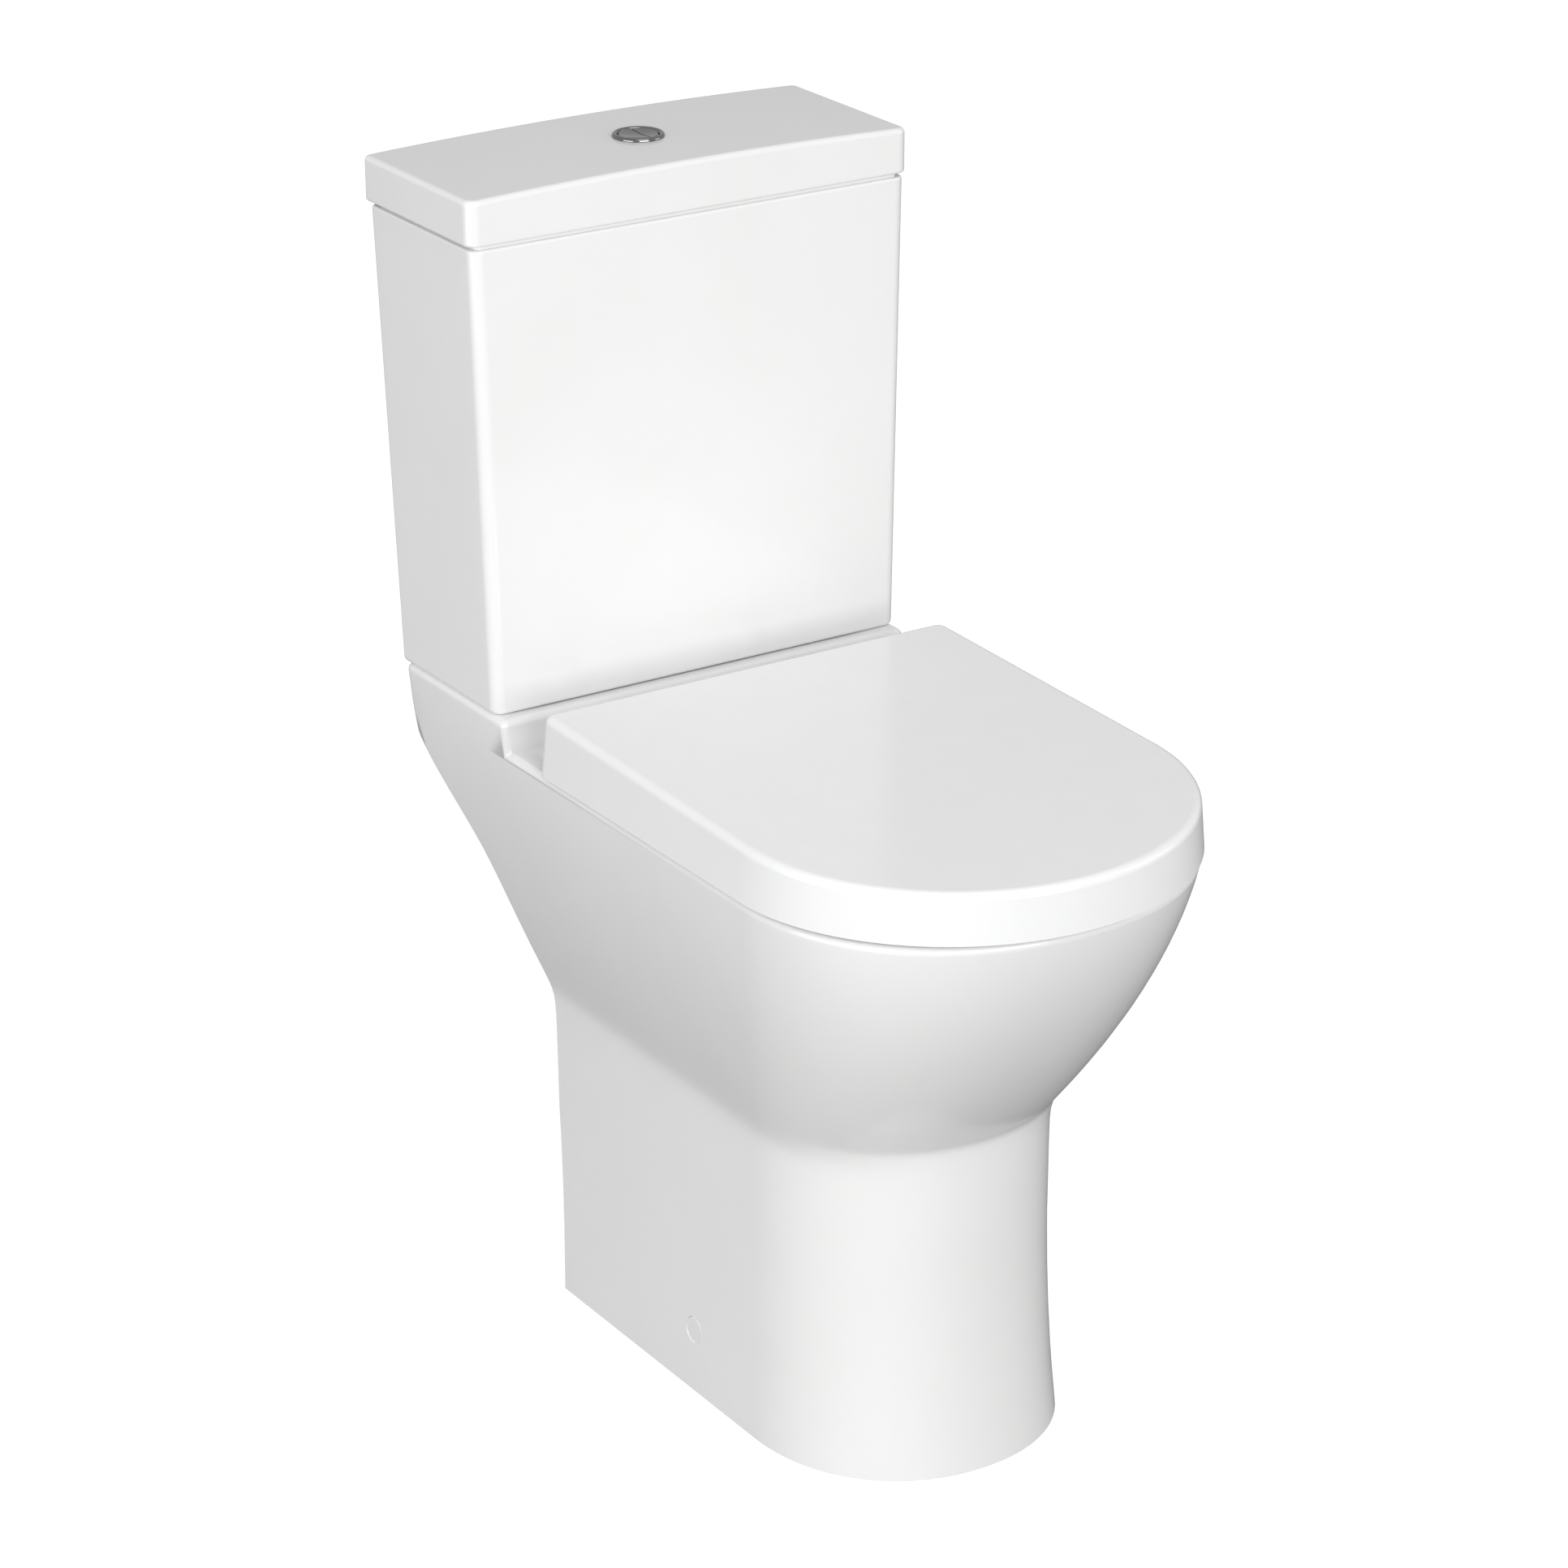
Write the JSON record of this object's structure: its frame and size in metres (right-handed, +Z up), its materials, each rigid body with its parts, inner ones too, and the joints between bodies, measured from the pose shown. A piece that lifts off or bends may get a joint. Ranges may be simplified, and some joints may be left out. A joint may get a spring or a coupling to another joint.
{
  "type": "close coupled toilet",
  "caption": "Close coupled toilet with an open-backed pan, a wrap-over seat and lid, and a cistern with a round push button on its lid.",
  "frame": {"origin": "on the floor, at the middle of the width and of the depth that the toilet takes up", "axes": "+Z up, +Y towards the wall behind the cistern, X from left to right across it"},
  "size_m": [0.3664, 0.6452, 0.8732],
  "materials": {
    "glazed_ware": "gloss white glaze",
    "seat_plastic": "gloss white moulding",
    "white_caps": "gloss white",
    "white_moulding": "satin white moulding",
    "blue_moulding": "satin blue moulding",
    "grey_moulding": "satin grey moulding",
    "chrome": "polished chrome",
    "steel": "zinc plated",
    "rubber": "black rubber",
    "foam_rubber": "black sponge rubber",
    "buffer_rubber": "translucent white rubber"
  },
  "bodies": {
    "ware": {"pan": "glazed_ware", "cistern_body": "glazed_ware", "cistern_lid": "glazed_ware", "button_bezel": "chrome", "button_nut": "white_moulding", "flush_valve_body": "white_moulding", "flush_valve_tower": "blue_moulding", "actuator_head": "white_moulding", "flush_valve_gasket": "rubber", "close_coupling_gasket": "foam_rubber", "fill_valve_gasket": "rubber", "flush_valve_nut": "white_moulding", "fill_valve_column": "white_moulding", "fill_valve_head": "blue_moulding", "fill_valve_pin": "steel", "fill_valve_nut": "white_moulding", "coupling_bolts": "steel", "coupling_bolt_seals": "rubber", "coupling_washers": "steel", "coupling_wing_nuts": "steel", "floor_brackets": "white_moulding", "fixing_screws": "steel", "fixing_caps": "white_caps", "hinge_posts": "chrome", "hinge_pins": "steel", "hinge_bolts": "steel", "hinge_washers": "rubber", "hinge_nuts": "white_moulding"},
    "lid": {"seat_lid": "seat_plastic", "lid_buffers": "buffer_rubber"},
    "ring": {"seat_ring": "seat_plastic", "ring_buffers": "buffer_rubber"},
    "full_button": {"full_flush_button": "chrome"},
    "half_button": {"half_flush_button": "chrome"},
    "plunger": {"flush_plunger": "white_moulding", "plunger_seal": "rubber"},
    "float": {"fill_valve_float": "grey_moulding"},
    "lever": {"fill_valve_lever": "white_moulding"}
  },
  "joints": [
    {"name": "lid_hinge", "type": "hinge", "parent": "ware", "child": "lid", "pos_m": [0, 0.12065, 0.482], "axis": [-1, 0, 0], "range_deg": [0, 93.5]},
    {"name": "ring_hinge", "type": "hinge", "parent": "ware", "child": "ring", "pos_m": [0, 0.12065, 0.482], "axis": [-1, 0, 0], "range_deg": [0, 92]},
    {"name": "full_flush_press", "type": "slide", "parent": "ware", "child": "full_button", "axis": [0, 0, -1], "range_m": [0, 0.005], "stiffness_N_per_m": 350, "springref_m": -0.002},
    {"name": "half_flush_press", "type": "slide", "parent": "ware", "child": "half_button", "axis": [0, 0, -1], "range_m": [0, 0.005], "stiffness_N_per_m": 350, "springref_m": -0.002},
    {"name": "plunger_lift", "type": "slide", "parent": "ware", "child": "plunger", "axis": [0, 0, 1], "range_m": [0, 0.02]},
    {"name": "float_rise", "type": "slide", "parent": "ware", "child": "float", "axis": [0, 0, 1], "range_m": [0, 0.018]},
    {"name": "lever_tilt", "type": "hinge", "parent": "ware", "child": "lever", "pos_m": [0.12, 0.24665, 0.799], "axis": [0, -1, 0], "range_deg": [-1, 30]}
  ],
  "couplings": [
    {"joint": "ring_hinge", "follows": "lid_hinge", "ratio": 0.975},
    {"joint": "plunger_lift", "follows": "full_flush_press", "ratio": 3.6},
    {"joint": "lever_tilt", "follows": "float_rise", "rad_per_m": 24}
  ]
}
